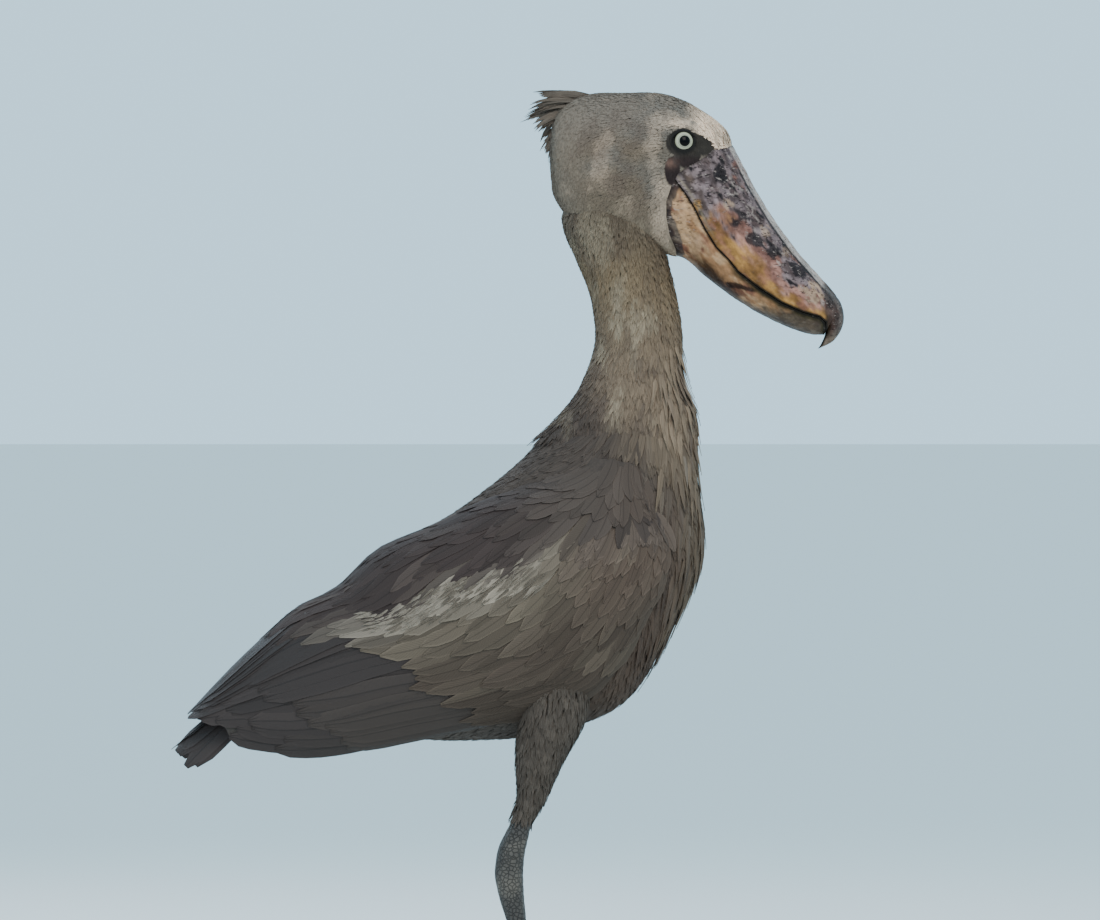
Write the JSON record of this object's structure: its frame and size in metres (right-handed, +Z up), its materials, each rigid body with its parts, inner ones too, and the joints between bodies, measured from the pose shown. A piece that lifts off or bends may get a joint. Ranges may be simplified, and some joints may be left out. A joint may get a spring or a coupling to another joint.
{
  "type": "shoebill",
  "caption": "Life-size shoebill standing on both feet, with a huge hooked bill, small crest, folded wings and long toes; a still model.",
  "frame": {"origin": "on the floor, at the middle of the bounding box", "axes": "+X where the bird faces, +Y its left side, +Z up"},
  "size_m": [0.7732, 0.2966, 1.1546],
  "materials": {
    "plumage": "soft feathers",
    "flight_feathers": "smooth feathers",
    "bill": "satin horn",
    "claw": "satin horn",
    "leg": "scaly skin",
    "eye": "polished"
  },
  "bodies": {
    "root": {"head": "plumage", "bill_upper": "bill", "bill_lower": "bill", "neck": "plumage", "torso": "plumage", "tail": "flight_feathers", "eye_left": "eye", "eye_right": "eye", "wing_left": "flight_feathers", "wing_right": "flight_feathers", "thigh_left": "plumage", "thigh_right": "plumage", "shank_left": "leg", "shank_right": "leg", "foot_left": "leg", "foot_right": "leg", "claw_middle_left": "claw", "claw_inner_left": "claw", "claw_outer_left": "claw", "claw_hind_left": "claw", "claw_middle_right": "claw", "claw_inner_right": "claw", "claw_outer_right": "claw", "claw_hind_right": "claw"}
  },
  "joints": []
}
